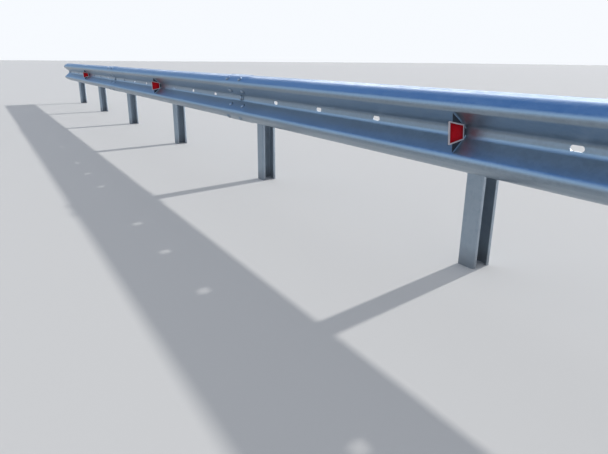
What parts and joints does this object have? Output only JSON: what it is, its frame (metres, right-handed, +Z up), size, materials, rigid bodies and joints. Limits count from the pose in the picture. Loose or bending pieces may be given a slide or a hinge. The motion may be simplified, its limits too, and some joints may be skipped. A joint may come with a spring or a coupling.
{
  "type": "highway guardrail section",
  "caption": "Single-sided roadside guardrail: a galvanised two-wave steel rail in lapped lengths, on spacers and channel posts, with small red reflectors in the rail's valley.",
  "frame": {"origin": "cut end of the middle post at ground level, in the middle of the flange that faces the road", "axes": "+X along the rail, to the right as seen from the road; +Y away from the road; +Z up"},
  "size_m": [12.32, 0.334, 0.76],
  "materials": {
    "galvanised_rail": "hot-dip galvanised, semi-bright",
    "galvanised_post": "hot-dip galvanised, duller than the rail",
    "galvanised_spacer": "hot-dip galvanised, duller than the rail",
    "reflector_plate": "dark blue-grey, matt",
    "red_reflector": "red reflecting sheet, glossy, in a pale rim",
    "white_reflector": "white reflecting sheet, glossy, in a pale rim"
  },
  "bodies": {
    "root": {"post_1": "galvanised_post", "spacer_1": "galvanised_spacer", "post_2": "galvanised_post", "spacer_2": "galvanised_spacer", "post_3": "galvanised_post", "spacer_3": "galvanised_spacer", "post_4": "galvanised_post", "spacer_4": "galvanised_spacer", "post_5": "galvanised_post", "spacer_5": "galvanised_spacer", "post_6": "galvanised_post", "spacer_6": "galvanised_spacer", "post_7": "galvanised_post", "spacer_7": "galvanised_spacer", "rail_1": "galvanised_rail", "rail_2": "galvanised_rail", "rail_3": "galvanised_rail", "reflector_plate_1": "reflector_plate", "reflector_red_panel_1": "red_reflector", "reflector_white_panel_1": "white_reflector", "reflector_plate_2": "reflector_plate", "reflector_red_panel_2": "red_reflector", "reflector_white_panel_2": "white_reflector", "reflector_plate_3": "reflector_plate", "reflector_red_panel_3": "red_reflector", "reflector_white_panel_3": "white_reflector"}
  },
  "joints": []
}
